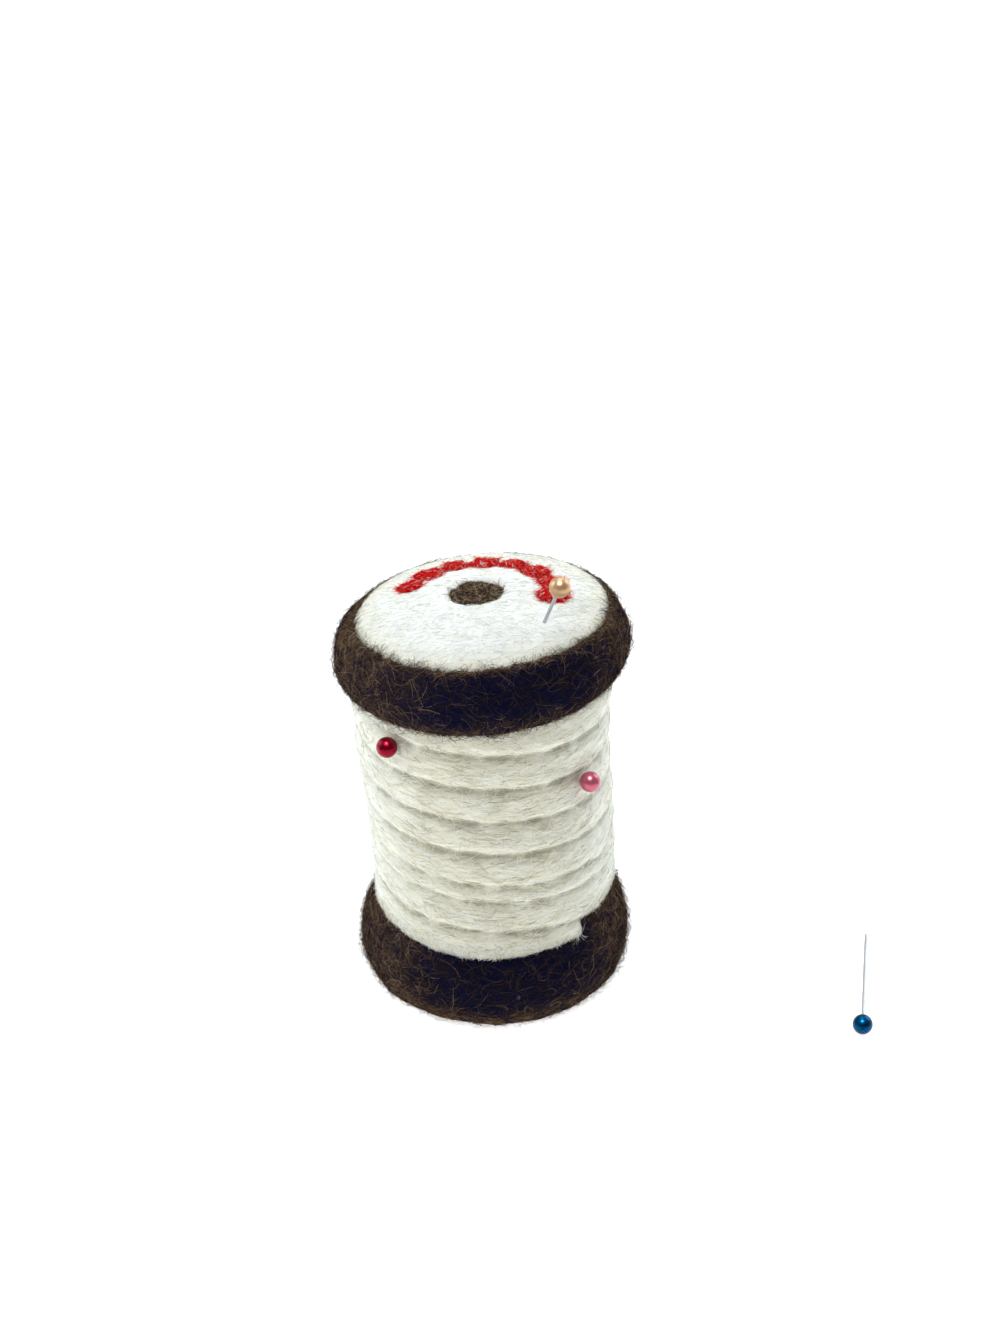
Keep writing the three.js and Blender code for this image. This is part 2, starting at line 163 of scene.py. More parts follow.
class WoolColours(bpy.types.PropertyGroup):
    """Colours of the wool, in linear light."""

    white: colour("White", "Wool of the crowned top", (0.92, 0.94, 0.92))
    cream: colour("Cream", "Wool of the winding", (0.76, 0.74, 0.59))
    # Beige is also painted as shade in the winding's grooves and on its upward ledges.
    beige: colour("Beige", "Shade of the cream wool in its grooves", (0.44, 0.40, 0.27))
    # Speck is also painted as the darkest shadow deep in the winding's grooves.
    speck: colour("Speck", "Dark fibres deep in the cream wool", (0.21, 0.185, 0.115))
    brown: colour("Brown", "Wool of the flanges", (0.0046, 0.0072, 0.0360))
    umber: colour("Umber", "Lighter fibres in the brown wool", (0.028, 0.019, 0.0165))
    # Hazel and tan are painted on the flanges' edges and sides as light that falls there, and laid there as
    # paler fibres.
    hazel: colour("Hazel", "Pale fibres in the brown wool", (0.095, 0.060, 0.040))
    tan: colour("Tan", "Lightest fibres in the brown wool", (0.260, 0.170, 0.095))
    straw: colour("Straw", "Single pale curls on the brown wool", (0.42, 0.33, 0.22))
    red: colour("Red", "Wool of the dabs", (0.72, 0.010, 0.012))
    rose: colour("Rose", "Pale red fibres at the edges of the dabs", (0.80, 0.09, 0.07))


class PinLooks(bpy.types.PropertyGroup):
    """Colours and small sizes of the pins."""

    peach: colour("Peach pearl", "Head of the standing pin", (0.53, 0.325, 0.175))
    red: colour("Red pearl", "Head of the pin at the left", (0.21, 0.001, 0.012))
    pink: colour("Pink pearl", "Head of the pin at the right", (0.49, 0.115, 0.168))
    blue: colour("Blue pearl", "Head of the loose pin", (0.0002, 0.046, 0.125))
    steel: colour("Steel", "Wire of the pins", (0.50, 0.52, 0.54))
    nub_radius: length("Nub radius", "Lacquer drop on top of a head", 0.28)
    collar_radius: length("Collar radius", "Glue collar where the wire leaves a head", 0.55)


class StageSettings(bpy.types.PropertyGroup):
    """Camera and light."""

    eye: FloatVectorProperty(
        name="Eye",
        description="Where the camera stands",
        default=(0.0012, -0.33732, 0.25715),
        subtype="TRANSLATION",
    )
    pitch: FloatProperty(
        name="Pitch",
        description="How far the camera looks down",
        default=math.radians(29.36),
        subtype="ANGLE",
    )
    lens: FloatProperty(
        name="Lens",
        description="Focal length in millimetres on a 36 mm side",
        default=54.01,
        unit="CAMERA",
    )
    sky: FloatProperty(name="Sky", description="Strength of the light tent", default=0.7)
    left: power("Left light", "Power of the light at the left", 1.25)
    right: power("Right light", "Power of the light at the right", 1.45)
    back: power("Back light", "Power of the overhead light", 1.5)
    key: power("Key light", "Power of the light at the front", 0.53)
    spark: power("Spark lamp", "Power of the small lamp that the pearls mirror", 5.0)


# Shader expressions


class Socket:
    """A shader value that takes part in Python expressions."""

    def __init__(self, nodes, link):
        self.nodes = nodes
        self.link = link

    def math(self, operation, *values):
        return self.nodes.value(0, "ShaderNodeMath", {"operation": operation}, dict(enumerate(values)))

    def __add__(self, other):
        return self.math("ADD", self, other)

    __radd__ = __add__

    def __sub__(self, other):
        return self.math("SUBTRACT", self, other)

    def __rsub__(self, other):
        return self.math("SUBTRACT", other, self)

    def __mul__(self, other):
        return self.math("MULTIPLY", self, other)

    __rmul__ = __mul__

    def __truediv__(self, other):
        return self.math("DIVIDE", self, other)

    def __rtruediv__(self, other):
        return self.math("DIVIDE", other, self)

    def __abs__(self):
        return self.math("ABSOLUTE", self)

    def clamped(self):
        """The value between 0 and 1."""
        return self.math("MINIMUM", self.math("MAXIMUM", self, 0.0), 1.0)

    def root(self):
        return self.math("SQRT", self)


class Nodes:
    """The nodes of a material or a world."""

    def __init__(self, owner):
        owner.use_nodes = True
        self.tree = owner.node_tree
        self.tree.nodes.clear()

    def node(self, kind, settings=None, inputs=None):
        """Adds a node: its settings come first, then the values or links of its sockets."""
        made = self.tree.nodes.new(kind)
        for key, value in (settings or {}).items():
            setattr(made, key, value)
        for key, value in (inputs or {}).items():
            if isinstance(value, Socket):
                self.tree.links.new(value.link, made.inputs[key])
            else:
                made.inputs[key].default_value = value
        return made

    def value(self, output, kind, settings=None, inputs=None):
        """One output of a new node."""
        return Socket(self, self.node(kind, settings, inputs).outputs[output])


class Finish(Nodes):
    """A material whose nodes are written as expressions."""

    def __init__(self, name):
        self.material = bpy.data.materials.new(name)
        super().__init__(self.material)

    def place(self):
        """The point on the piece in millimetres, as a vector and as x, y and z."""
        point = self.value("Object", "ShaderNodeTexCoord")
        vector = self.value(0, "ShaderNodeVectorMath", {"operation": "SCALE"}, {0: point, "Scale": 1 / MM})
        parts = self.node("ShaderNodeSeparateXYZ", None, {0: vector})
        return vector, [Socket(self, part) for part in parts.outputs]

    def vector(self, x, y, z):
        return self.value(0, "ShaderNodeCombineXYZ", None, {0: x, 1: y, 2: z})

    def noise(self, vector, scale, detail, w=None):
        """Soft noise between 0 and 1, in four dimensions where w is given."""
        inputs = {"Vector": vector, "Scale": scale, "Detail": detail}
        if w is not None:
            inputs["W"] = w
        dimensions = "3D" if w is None else "4D"
        return self.value("Fac", "ShaderNodeTexNoise", {"noise_dimensions": dimensions}, inputs)

    def attribute(self, name):
        return self.value("Fac", "ShaderNodeAttribute", {"attribute_name": name})

    def mix(self, factor, first, second):
        """A colour between two colours."""
        first, second = (c if isinstance(c, Socket) else (*c, 1.0) for c in (first, second))
        return self.value(2, "ShaderNodeMix", {"data_type": "RGBA"}, {0: factor, 6: first, 7: second})

    def bump(self, height, distance, strength):
        inputs = {"Height": height, "Distance": distance, "Strength": strength}
        return self.value(0, "ShaderNodeBump", None, inputs)

    def principled(self, **inputs):
        """The material with its shader. Underscores stand for the spaces in a socket's name."""
        named = {key.replace("_", " "): value for key, value in inputs.items()}
        surface = self.value(0, "ShaderNodeBsdfPrincipled", None, named)
        self.node("ShaderNodeOutputMaterial", None, {"Surface": surface})
        return self.material

    def wool(self, **inputs):
        """The material of matt wool."""
        return self.principled(Roughness=0.95, Specular_IOR_Level=0.0, **inputs)


def ridges(*values):
    """Thin bright lines where noises pass their middle."""
    first, *others = [(1.0 - abs(value - 0.5) * 9.0).clamped() for value in values]
    return sum(others, first)


def wound_fibres(finish, axis_x):
    """A maker of streaks of fibre that run round the spool, without a seam."""
    vector, (x, y, z) = finish.place()
    x = x - axis_x / MM
    radius = (x * x + y * y).root()
    warp = (finish.noise(vector, 0.22, 2.0) - 0.5) * 5.0 + (finish.noise(vector, 0.9, 1.0) - 0.5) * 0.9

    def lines(along, across, shift=0.0, tilt=1.0, detail=3.0):
        height = (z + warp * tilt + shift) * across
        spot = finish.vector(x / radius * along, y / radius * along, height)
        return finish.noise(spot, 1.0, detail, radius * across * 0.5)

    return vector, lines


def crossed_fibres(finish, along, across):
    """Streaks of fibre that lie three ways on a level face."""
    vector, (x, y, z) = finish.place()
    warp = (finish.noise(vector, 0.25, 2.0) - 0.5) * 6.0
    lines = []
    for i in range(3):
        angle = math.radians(20 + 60 * i)
        run = x * math.cos(angle) + y * math.sin(angle)
        side = y * math.cos(angle) - x * math.sin(angle) + warp
        spot = finish.vector(run * along, side * across, z * across + 31.0 * i)
        lines.append(finish.noise(spot, 1.0, 2.0))
    return vector, lines


def brown_finish(colours):
    """Dark brown wool: streaks of umber, with hazel and tan painted along the rims and at the sides as light
    that falls there.
    """
    finish = Finish("brown_wool")
    vector, lines = wound_fibres(finish, 0.0)
    blotch = finish.noise(vector, 0.16, 3.0)
    first, second = lines(3.2, 1.5), lines(3.2, 1.5, 37.0, -1.0)
    streak = ridges(first, second) * 0.5
    # Painted light: paler along the edges and at the sides; the umber streaks, hazel and tan grow with it.
    painted_rim = finish.attribute("painted_rim")
    umber = (streak * 0.6 + (blotch - 0.5) * 0.8) * (0.4 + painted_rim)
    shade = finish.mix(umber.clamped(), colours.brown, colours.umber)
    shade = finish.mix((painted_rim * (0.5 + streak * 0.5)).clamped(), shade, colours.hazel)
    shade = finish.mix((painted_rim * painted_rim * (0.2 + streak * 0.6)).clamped(), shade, colours.tan)
    return finish.wool(
        Base_Color=shade,
        Sheen_Weight=0.8,
        Sheen_Roughness=0.3,
        Sheen_Tint=(*colours.tan, 1.0),
        Normal=finish.bump(first + second + streak * 0.6, 0.25 * MM, 0.9),
    )


def cream_finish(colours):
    """Cream roving: fine fibres that run with the turns, beige painted shade in the grooves, whiter painted
    light at the sides, and small needle marks.
    """
    finish = Finish("cream_wool")
    vector, lines = wound_fibres(finish, TOP_AXIS_X * 0.5)
    first, second = lines(3.6, 1.9), lines(3.6, 1.9, 37.0, -1.0)
    dash = ((lines(15.0, 2.6, 11.0, 0.5, 1.0) - 0.63) * 9.0).clamped()
    # Painted shade: darkest in the grooves, a little on ledges that face up.
    groove_shade = finish.attribute("groove_shade")
    streak = ridges(first, second) * 0.5
    blotch = finish.noise(vector, 0.2, 2.0)
    # Mottling, dashes and fibre streaks, with the shade painted in the grooves.
    dirt_and_shade = groove_shade * 0.4 + dash * 0.8 + (blotch - 0.4) * 1.2 + (0.5 - second) * 1.4
    shade = finish.mix(dirt_and_shade.clamped(), colours.cream, colours.beige)
    # Fibre streaks, and light painted whiter at the left and right.
    side_light_and_streaks = streak * 0.35 + finish.attribute("side") * 0.5
    shade = finish.mix(side_light_and_streaks.clamped(), shade, colours.white)
    # Painted shadow deep in the grooves.
    shade = finish.mix((groove_shade * groove_shade * 0.5).clamped(), shade, colours.speck)
    return finish.wool(
        Base_Color=shade,
        Subsurface_Weight=0.15,
        Subsurface_Radius=(0.9 * MM, 0.8 * MM, 0.6 * MM),
        Subsurface_Scale=1.0,
        Sheen_Weight=0.2,
        Sheen_Roughness=0.5,
        Normal=finish.bump(first + second + streak * 0.4 - dash * 0.4, 0.22 * MM, 0.8),
    )


def white_finish(colours):
    """White wool needled flat: fibres that lie every way, with faint warm patches and a painted shade of
    cream along its rim.
    """
    finish = Finish("white_wool")
    vector, lines = crossed_fibres(finish, 0.22, 2.6)
    blotch = finish.noise(vector, 0.22, 3.0)
    streak = ridges(*lines) * 0.4
    # Mottling and streaks, with shade painted along the rim.
    dirt_and_shade = (blotch - 0.5) * 0.5 + (0.5 - lines[0]) * 0.4 + finish.attribute("painted_rim") * 0.75
    return finish.wool(
        Base_Color=finish.mix(dirt_and_shade.clamped(), colours.white, colours.cream),
        Subsurface_Weight=0.2,
        Subsurface_Radius=(1.0 * MM, 0.9 * MM, 0.8 * MM),
        Subsurface_Scale=1.0,
        Sheen_Weight=0.2,
        Sheen_Roughness=0.5,
        Normal=finish.bump(lines[0] + lines[1] + lines[2] + streak * 0.5, 0.035 * MM, 0.7),
    )


def tangled_finish(name, dark, middle_shade, pale):
    """Small needled patches: curled fibres in three shades."""
    finish = Finish(name)
    vector, lines = crossed_fibres(finish, 0.4, 1.9)
    streak = ridges(*lines) * 0.5
    blotch = finish.noise(vector, 0.7, 2.0)
    shade = finish.mix((blotch * 1.4 - 0.2).clamped(), dark, middle_shade)
    shade = finish.mix((streak * 0.6).clamped(), shade, pale)
    return finish.wool(
        Base_Color=shade,
        Sheen_Weight=0.15,
        Sheen_Roughness=0.5,
        Sheen_Tint=(*pale, 1.0),
        Normal=finish.bump(lines[0] + lines[1] + streak, 0.3 * MM, 0.9),
    )


def fibre_finishes(wool, *names):
    """Even shades for loose fibres."""
    finishes = []
    for name in names:
        shade = (*getattr(wool, name), 1.0)
        finishes.append(
            Finish(name + "_fibre").principled(
                Base_Color=shade,
                Roughness=0.8,
                Specular_IOR_Level=0.0,
                Sheen_Weight=0.3,
                Sheen_Roughness=0.4,
                Sheen_Tint=shade,
            )
        )
    return finishes


def pearl_finish(name, shade, shimmer):
    """Pearl lacquer: a cloudy shimmer of colour under a thin clear coat."""
    finish = Finish(name)
    vector, _ = finish.place()
    cloud = finish.noise(vector, 0.9, 3.0)
    pale = [min(1.0, 1.2 * c) for c in shade]
    deep = [0.8 * c for c in shade]
    return finish.principled(
        Base_Color=finish.mix(cloud, deep, pale),
        Metallic=shimmer,
        Roughness=0.27 + cloud * 0.12,
        Coat_Weight=0.02 + 0.3 * (1.0 - shimmer),
        Coat_Roughness=0.05,
        Specular_IOR_Level=0.2,
    )


def steel_finish(colours):
    """Drawn wire, clouded here and there."""
    finish = Finish("pin_steel")
    vector, _ = finish.place()
    cloud = finish.noise(vector, 1.6, 4.0)
    return finish.principled(
        Base_Color=finish.mix(cloud * 0.5, colours.steel, [0.55 * c for c in colours.steel]),
        Metallic=1.0,
        Roughness=0.32 + cloud * 0.2,
    )


# Places and ways on the spool


def eased(values, start, end):
    """0 before start, 1 after end, smooth between them. The end may be less than the start."""
    share = np.clip((values - start) / (end - start), 0.0, 1.0)
    return share * share * (3 - 2 * share)


def unit(vectors):
    return vectors / np.maximum(np.linalg.norm(vectors, axis=-1, keepdims=True), 1e-12)


def level(x, y):
    """Level unit vectors."""
    return unit(np.stack([x, y, 0 * x], 1))


def round_axis(points):
    """The way round the spool at some points."""
    return level(-points[:, 1], points[:, 0] - TOP_AXIS_X * 0.5)


def outwards(points):
    """Away from the axis of the top."""
    return level(points[:, 0] - TOP_AXIS_X, points[:, 1])


def inwards(points):
    """Towards the axis of the top."""
    return -outwards(points)


def downwards(points):
    """Straight down at every point."""
    return np.tile((0.0, 0.0, -1.0), (len(points), 1))


def away_from(centre):
    """A heading away from a point."""
    return lambda points: unit(points - np.array(centre))


def turned_in_plane(headings, normals, angles):
    """Headings laid flat on a surface and turned about its normals."""
    flat = headings - normals * (headings * normals).sum(1, keepdims=True)
    upright = np.linalg.norm(flat, axis=1) < 0.1
    flat[upright] = np.cross(normals[upright], (1.0, 0.3, 0.2))
    flat = unit(flat)
    side = np.cross(normals, flat)
    return flat * np.cos(angles)[:, None] + side * np.sin(angles)[:, None]


def top_reach(points):
    """How far points stand from the axis of the top."""
    return np.hypot(points[:, 0] - TOP_AXIS_X, points[:, 1])


def body_axis(points):
    """The x of the winding's axis, which leans, at the height of some points."""
    return TOP_AXIS_X * eased(points[:, 2], *LEAN)


def body_depth(points):
    """How far points stand out of the face of the winding."""
    face = BODY_RADIUS + (points[:, 2] - BASE_TOP) / BODY_FLARE
    return np.hypot(points[:, 0] - body_axis(points), points[:, 1]) - face


def overhanging(normals):
    """Whether faces look outwards and down."""
    return np.abs(normals[:, 2] + 0.45) < 0.45


def painted_side_light(points):
    """Painted side light: how much paler the brown wool is, most at the left and the right, none in front and
    behind.
    """
    across = outwards(points)[:, 0]
    return 1.2 * np.where(across < 0, np.abs(across) ** 2.3, 1.2 * np.abs(across) ** 7)


def painted_winding_light(points):
    """Painted side light: how much whiter the winding is, most at the left and the right."""
    return np.abs(outwards(points)[:, 0]) ** 3


def foot_rim_light(points):
    """How near points are to the foot's lower edge, which is painted paler as light thrown up from the floor.
    """
    return eased(points[:, 2], *FOOT_EDGE)


def ring_rim_light(points):
    """How near points are to the ring's mouth round the white top or to its lower edge: both are painted
    paler, as light that catches them.
    """
    return np.maximum(eased(points[:, 2], *RING_SKIRT), eased(top_reach(points), *RING_MOUTH))


def head_radius(pin):
    """Radius of a pin's head."""
    head = middle(pin + "_head")
    return max((v.co - head).length for v in frame["nodes"][pin + "_head"].data.vertices)


def pushed_home(pin):
    """A ball that holds a pin's head and collar when the pin is pushed in as far as it goes."""
    joint = next(joint for joint in frame["joints"] if joint["child"] == pin)
    centre = middle(pin + "_head") + Vector(joint["axis"]).normalized() * joint["range_m"][0]
    return np.array(centre), head_radius(pin) + COLLAR_DROP + HEAD_ROOM


# Meshes


def linked(name, mesh):
    piece = bpy.data.objects.new(name, mesh)
    bpy.context.scene.collection.objects.link(piece)
    return piece


def read(collection, name, width, kind=np.float64):
    """Values of a mesh's elements as rows."""
    values = np.empty(len(collection) * width, kind)
    collection.foreach_get(name, values)
    return values.reshape(-1, width)


def points_of(mesh):
    return read(mesh.vertices, "co", 3)


def normals_of(mesh):
    return read(mesh.vertex_normals, "vector", 3)


def triangles_of(mesh):
    mesh.calc_loop_triangles()
    return read(mesh.loop_triangles, "vertices", 3, np.int32)


def moved(mesh, points):
    mesh.vertices.foreach_set("co", points.astype(np.float32).ravel())
    mesh.update()


def stored(mesh, name, values):
    """Keeps a value for each vertex, for the finish to read."""
    attribute = mesh.attributes.new(name, "FLOAT", "POINT")
    attribute.data.foreach_set("value", np.asarray(values, np.float32))


def copied(nodes):
    """One mesh with copies of some solids."""
    joined = bmesh.new()
    for node in nodes:
        joined.from_mesh(frame["nodes"][node].data)
    bmesh.ops.remove_doubles(joined, verts=joined.verts, dist=0.001 * MM)
    mesh = bpy.data.meshes.new(nodes[0])
    joined.to_mesh(mesh)
    joined.free()
    return mesh


def fused(piece, cell):
    """Rebuilds a piece's mesh from small cells, which closes narrow gaps and fuses what touches."""
    step = piece.modifiers.new("fuse", "REMESH")
    step.mode = "VOXEL"
    step.voxel_size = cell
    evaluated = piece.evaluated_get(bpy.context.evaluated_depsgraph_get())
    mesh = bpy.data.meshes.new_from_object(evaluated)
    piece.modifiers.clear()
    old = piece.data
    piece.data = mesh
    bpy.data.meshes.remove(old)


def softened(mesh, rounds):
    """Draws each vertex towards its neighbours."""
    points = points_of(mesh)
    edges = read(mesh.edges, "vertices", 2, np.int32)
    total = len(points)
    count = np.bincount(edges.ravel(), minlength=total)[:, None]
    for _ in range(rounds):
        columns = []
        for axis in range(3):
            column = np.bincount(edges[:, 0], points[edges[:, 1], axis], total)
            columns.append(column + np.bincount(edges[:, 1], points[edges[:, 0], axis], total))
        points += 0.5 * (np.stack(columns, 1) / count - points)
    moved(mesh, points)


def swollen(mesh, depths):
    """Moves the surface outwards by a depth for each vertex, or by one for all."""
    moved(mesh, points_of(mesh) + normals_of(mesh) * np.reshape(depths, (-1, 1)))


def soft_noise(points, size, seed):
    """Smooth noise between about -1 and 1 at some points."""
    offset = Vector((seed * 17.3, seed * 5.7, seed * 11.1))
    return np.array([noise.noise(Vector(p) / size + offset) for p in points])


def outer_shell(mesh):
    """Deletes the closed hollows inside a mesh: all but the shell with the most vertices."""
    shells = bmesh.new()
    shells.from_mesh(mesh)
    left = set(shells.verts)
    largest = set()
    while left:
        shell = set()
        edge = [left.pop()]
        while edge:
            vertex = edge.pop()
            shell.add(vertex)
            near = {link.other_vert(vertex) for link in vertex.link_edges} & left
            left -= near
            edge.extend(near)
        largest = max(largest, shell, key=len)
    bmesh.ops.delete(shells, geom=[v for v in shells.verts if v not in largest], context="VERTS")
    shells.to_mesh(mesh)
    shells.free()


def felted(name, nodes, felt, seed, swell=1.0, softening=1.0, lumps=1.0, needling=1.0, shape=None):
    """A felt piece in the place of some solids: fused, swollen, softened, lumpy and needled."""
    piece = linked(name + "_felt", copied(nodes))
    fused(piece, felt.grain)
    swollen(piece.data, felt.swell * swell)
    fused(piece, felt.grain)
    outer_shell(piece.data)
    if shape:
        shape(piece.data)
    softened(piece.data, round(felt.softening * softening))
    points = points_of(piece.data)
    lump = soft_noise(points, felt.lump_size, seed)
    needled = soft_noise(points, felt.needle_size, seed + 1)
    swollen(piece.data, felt.lump_depth * lumps * lump - felt.needle_depth * needling * np.abs(needled))
    points = points_of(piece.data)
    points[:, 2] = np.maximum(points[:, 2], 0.0)
    moved(piece.data, points)
    piece.data.shade_smooth()
    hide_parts(*nodes)
    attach(piece, "spool")
    return piece


def finished(piece, finish):
    """Gives a felt piece its one finish."""
    piece.data.materials.append(finish)


def ragged(piece, centre, depth, waves, seed):
    """Makes a patch's outline uneven: stretched or drawn in by a share of its reach, different all round."""
    points = points_of(piece.data)
    for point in points:
        x, y = point[0] - centre.x, point[1] - centre.y
        reach = math.hypot(x, y) or 1.0
        share = depth * noise.noise(Vector((x / reach * waves, y / reach * waves, seed * 7.7)))
        point[0] += x * share
        point[1] += y * share
    moved(piece.data, points)


def dented(mesh, centre, radius):
    """Presses a ball into the surface: no point stays inside it."""
    offset = points_of(mesh) - centre
    reach = np.linalg.norm(offset, axis=1, keepdims=True)
    moved(mesh, centre + offset * np.maximum(1.0, radius / np.maximum(reach, 0.1 * MM)))


def lathed(name, profile, steps, start, axis):
    """A closed turned mesh: a profile of (radius, distance) points that starts and ends on its axis."""
    across = axis.orthogonal().normalized()
    upright = axis.cross(across)
    vertices = []
    faces = []
    for radius, distance in profile[1:-1]:
        for i in range(steps):
            angle = 2 * math.pi * i / steps
            spoke = across * math.cos(angle) + upright * math.sin(angle)
            vertices.append(start + axis * distance + spoke * radius)
    last_row = (len(profile) - 3) * steps
    for row in range(0, last_row, steps):
        for i in range(steps):
            j = (i + 1) % steps
            faces.append((row + i, row + j, row + steps + j, row + steps + i))
    first, last = len(vertices), len(vertices) + 1
    vertices.append(start + axis * profile[0][1])
    vertices.append(start + axis * profile[-1][1])
    for i in range(steps):
        j = (i + 1) % steps
        faces.append((first, j, i))
        faces.append((last, last_row + i, last_row + j))
    mesh = bpy.data.meshes.new(name)
    mesh.from_pydata(vertices, [], faces)
    mesh.shade_smooth()
    return linked(name, mesh)


def surface_tree(pieces):
    """The surfaces of some pieces, for finding the nearest point."""
    vertices = []
    faces = []
    for piece in pieces:
        first = sum(len(part) for part in vertices)
        vertices.append(points_of(piece.data))
        faces.append(triangles_of(piece.data) + first)
    return BVHTree.FromPolygons(np.concatenate(vertices).tolist(), np.concatenate(faces).tolist())


def nearest(tree, points):
    """The nearest spots on a surface, and its normals there."""
    hits = [tree.find_nearest(Vector(p))[:2] for p in points]
    return np.array([spot for spot, _ in hits]), np.array([normal for _, normal in hits])


def beside(piece, distance):
    """A test for points outside a piece and within a distance of its surface."""
    tree = surface_tree([piece])

    def test(points):
        spots, normals = nearest(tree, points)
        gap = points - spots
        return (np.linalg.norm(gap, axis=1) < distance) & ((gap * normals).sum(1) > 0)

    return test


# Loose fibres


class Fleece:
    """Loose fibres over felt pieces, gathered into one mesh of closed tapered strands."""

    SIDES = 3
    # Height of a fibre's root and of the rest of it over the felt, in radii
    ROOT, REST = -1.5, 0.3
    # Least and most girth of a fibre, and that of its free end, as shares
    GIRTHS = 0.6, 1.4
    FREE_END = 0.5
    # How much a fibre's bend strays from station to station, as a share of its curl
    STRAY = 0.1

    def __init__(self, seed, radius, stations=5, clear=None):
        """clear is the middle and the radius of a ball that no fibre may enter."""
        self.random = np.random.default_rng(seed)
        self.radius = radius
        self.stations = stations
        self.clear = clear
        self.paths = []
        self.ups = []
        self.radii = []
        self.shades = []

    def grow(
        self, felt, count, keep, lengths, lifts, weights,
        heading=round_axis, spread=math.pi, curl=1.0, cling=0.8, over=(),
    ):
        """Lays fibres on a felt piece where keep(points, normals) holds, or by the share that it gives.

        lengths are the least and most length of a fibre, and lifts the least and most height of its free end,
        in millimetres. weights share the fibres among the shades. heading(points) gives the way that they
        run, and spread how far they stray from it. The fibres follow the felt and the pieces that they may
        lie over: closely where cling is 1, and straight on where it is 0.
        """
        shortest, longest, lowest, highest = (value * MM for value in (*lengths, *lifts))
        corners = points_of(felt.data)[triangles_of(felt.data)]
        crosses = np.cross(corners[:, 1] - corners[:, 0], corners[:, 2] - corners[:, 0])
        sizes = np.linalg.norm(crosses, axis=1, keepdims=True)
        normals = crosses / np.maximum(sizes, 1e-15)
        areas = sizes[:, 0] * keep(corners.mean(1), normals)
        chosen = self.random.choice(len(areas), count, p=areas / areas.sum())
        shares = self.random.dirichlet((1.0, 1.0, 1.0), count)
        point = (corners[chosen] * shares[:, :, None]).sum(1)
        normal = normals[chosen]
        forward = turned_in_plane(heading(point), normal, self.random.normal(0.0, spread, count))
        span = self.random.uniform(shortest, longest, count) / (self.stations - 1)
        bend = self.random.normal(0.0, curl, count) / (self.stations - 1)
        top = lowest + (highest - lowest) * self.random.random(count) ** 2
        tree = surface_tree([felt, *over])
        path = np.empty((count, self.stations, 3))
        up = np.empty((count, self.stations, 3))
        for station in range(self.stations):
            share = station / (self.stations - 1)
            height = top * share**1.3 + self.radius * (self.REST if station else self.ROOT)
            path[:, station] = point + normal * height[:, None]
            path[:, station, 2] = np.maximum(path[:, station, 2], 2 * self.radius)
            up[:, station] = normal
            ahead = point + forward * span[:, None]
            spot, normal = nearest(tree, ahead)
            above = np.maximum(((ahead - spot) * normal).sum(1), 0.0)
            point = spot + normal * ((1 - cling) * above)[:, None]
            turn = bend + self.random.normal(0.0, self.STRAY * curl, count)
            rise = (1 - cling) * (forward * normal).sum(1, keepdims=True)
            forward = unit(turned_in_plane(forward, normal, turn) + normal * rise)
        taper = np.linspace(1.0, self.FREE_END, self.stations)
        girth = self.random.uniform(*self.GIRTHS, (count, 1)) * self.radius
        shades = self.random.choice(len(weights), count, p=np.array(weights) / sum(weights))
        free = slice(None)
        if self.clear:
            centre, reach = self.clear
            free = (np.linalg.norm(path - centre, axis=2) > reach).all(1)
        self.paths.append(path[free])
        self.ups.append(up[free])
        self.radii.append((girth * taper)[free])
        self.shades.append(shades[free])

    def piece(self, name, finishes, slot):
        """The fibres as one piece on the spool."""
        path = np.concatenate(self.paths)
        up = np.concatenate(self.ups)
        radii = np.concatenate(self.radii)[:, :, None, None]
        along = unit(np.gradient(path, axis=1))
        side = unit(np.cross(up, along))
        above = np.cross(along, side)
        angles = np.arange(self.SIDES) * 2 * math.pi / self.SIDES + math.pi / 6
        rings = path[:, :, None] + radii * (
            np.cos(angles)[:, None] * side[:, :, None] + np.sin(angles)[:, None] * above[:, :, None]
        )
        around = np.arange(self.SIDES)
        after = (around + 1) % self.SIDES
        last = (self.stations - 1) * self.SIDES
        quads = []
        for low in range(0, last, self.SIDES):
            high = low + self.SIDES
            quads.append(np.stack([low + around, low + after, high + after, high + around], 1))
        quads = np.concatenate(quads)
        caps = np.stack([around[::-1], last + around])
        first = np.arange(len(path))[:, None, None] * self.stations * self.SIDES
        walls = (first + quads).reshape(-1, 4).tolist()
        ends = (first + caps).reshape(-1, self.SIDES).tolist()
        mesh = bpy.data.meshes.new(name)
        mesh.from_pydata(rings.reshape(-1, 3), [], walls + ends)
        shades = np.concatenate(self.shades)
        index = np.concatenate([np.repeat(shades, len(quads)), np.repeat(shades, len(caps))])
        mesh.polygons.foreach_set("material_index", index.astype(np.int32))
        for finish in finishes:
            mesh.materials.append(finish)
        made = linked(name, mesh)
        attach(made, "spool")


# Pieces


class PieceOperator:
    """What the operators share: the settings of the scene."""

    bl_options = {"REGISTER", "UNDO"}

    def settings(self, context):
        scene = context.scene
        return scene.pincushion_felt, scene.pincushion_wool, scene.pincushion_pins


